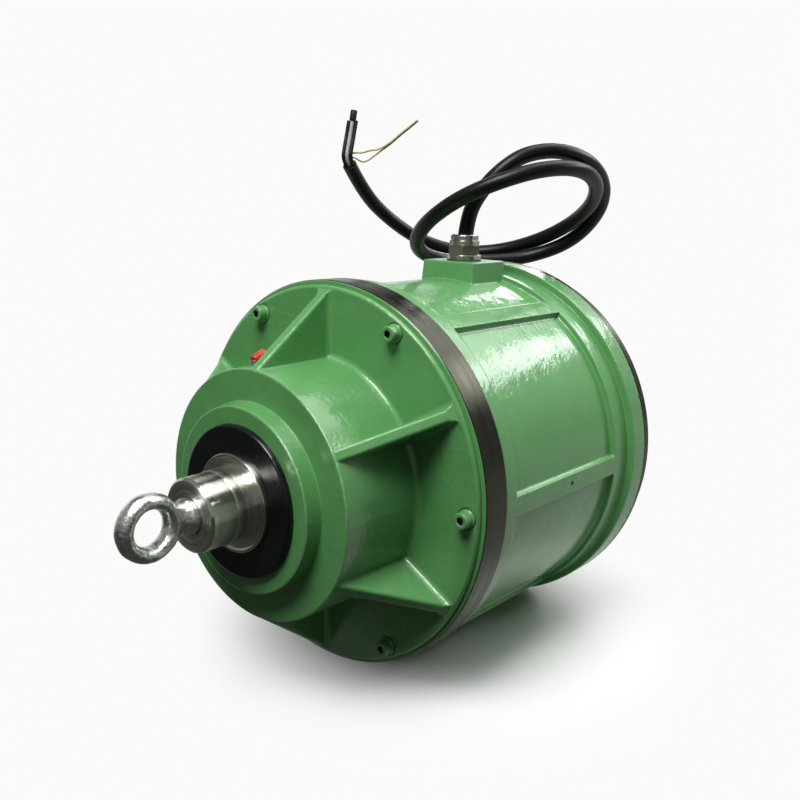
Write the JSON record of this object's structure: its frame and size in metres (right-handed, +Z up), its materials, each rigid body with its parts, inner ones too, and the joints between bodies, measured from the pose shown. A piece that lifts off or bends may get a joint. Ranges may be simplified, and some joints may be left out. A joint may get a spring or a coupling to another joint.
{
  "type": "vibration motor",
  "caption": "Round-bodied vibration motor with ribbed end shields, two bare shaft ends for unbalance weights, a locating band, a lifting eye and a bare-ended supply cable.",
  "frame": {"origin": "on the shaft axis, in the mid-plane of the front locating band", "axes": "+Y along the shaft from the lifting-eye end to the rear end, +Z up through the cable gland"},
  "size_m": [0.35, 0.6334, 0.5013],
  "materials": {
    "green_paint": "glossy machine green over cast iron",
    "burnished_steel": "turned, darkened and oiled",
    "turned_steel": "fine turned",
    "zinc_plate": "zinc plated",
    "seal_rubber": "smooth, slightly glossy",
    "red_plastic": "soft cap",
    "gland_nickel": "nickel plated brass",
    "cable_rubber": "smooth cable sheath",
    "core_plastic": "insulation",
    "lead_plastic": "thin insulation",
    "bearing_steel": "ground",
    "cage_brass": "machined",
    "grey_iron": "as cast",
    "core_steel": "laminated sheet",
    "winding_copper": "varnished copper",
    "cage_aluminium": "die cast"
  },
  "bodies": {
    "housing": {"stator_frame": "green_paint", "front_shield": "green_paint", "rear_shield": "green_paint", "front_shield_screws": "green_paint", "rear_shield_screws": "green_paint", "front_locating_band": "burnished_steel", "rear_locating_band": "burnished_steel", "front_cap_screws": "zinc_plate", "rear_cap_screws": "zinc_plate", "front_grease_nipple": "zinc_plate", "rear_grease_nipple": "zinc_plate", "front_shaft_seal": "seal_rubber", "rear_shaft_seal": "seal_rubber", "gland_insert": "seal_rubber", "gland_gasket": "seal_rubber", "front_nipple_cap": "red_plastic", "rear_nipple_cap": "red_plastic", "gland_body": "gland_nickel", "gland_nut": "gland_nickel", "cable": "cable_rubber", "cable_cores": "core_plastic", "core_sleeve": "core_plastic", "lead_bundle": "core_plastic", "thin_leads": "lead_plastic", "front_bearing_outer_ring": "bearing_steel", "rear_bearing_outer_ring": "bearing_steel", "front_inner_cap": "grey_iron", "rear_inner_cap": "grey_iron", "stator_core": "core_steel", "stator_winding": "winding_copper"},
    "rotor": {"shaft": "turned_steel", "rotor_core": "core_steel", "rotor_cage": "cage_aluminium", "lifting_eye": "zinc_plate", "front_seal_sleeve": "turned_steel", "rear_seal_sleeve": "turned_steel", "front_bearing_inner_ring": "bearing_steel", "rear_bearing_inner_ring": "bearing_steel"},
    "front_roller_set": {"front_rollers": "bearing_steel", "front_roller_cage": "cage_brass"},
    "rear_roller_set": {"rear_rollers": "bearing_steel", "rear_roller_cage": "cage_brass"}
  },
  "joints": [
    {"name": "rotor_spin", "type": "hinge", "parent": "housing", "child": "rotor", "pos_m": [0, 0.122, 0], "axis": [0, 1, 0], "continuous": true},
    {"name": "front_rollers_spin", "type": "hinge", "parent": "housing", "child": "front_roller_set", "pos_m": [0, -0.06, 0], "axis": [0, 1, 0], "continuous": true},
    {"name": "rear_rollers_spin", "type": "hinge", "parent": "housing", "child": "rear_roller_set", "pos_m": [0, 0.304, 0], "axis": [0, 1, 0], "continuous": true}
  ],
  "couplings": [
    {"joint": "front_rollers_spin", "follows": "rotor_spin", "ratio": 0.4045},
    {"joint": "rear_rollers_spin", "follows": "rotor_spin", "ratio": 0.4045}
  ]
}
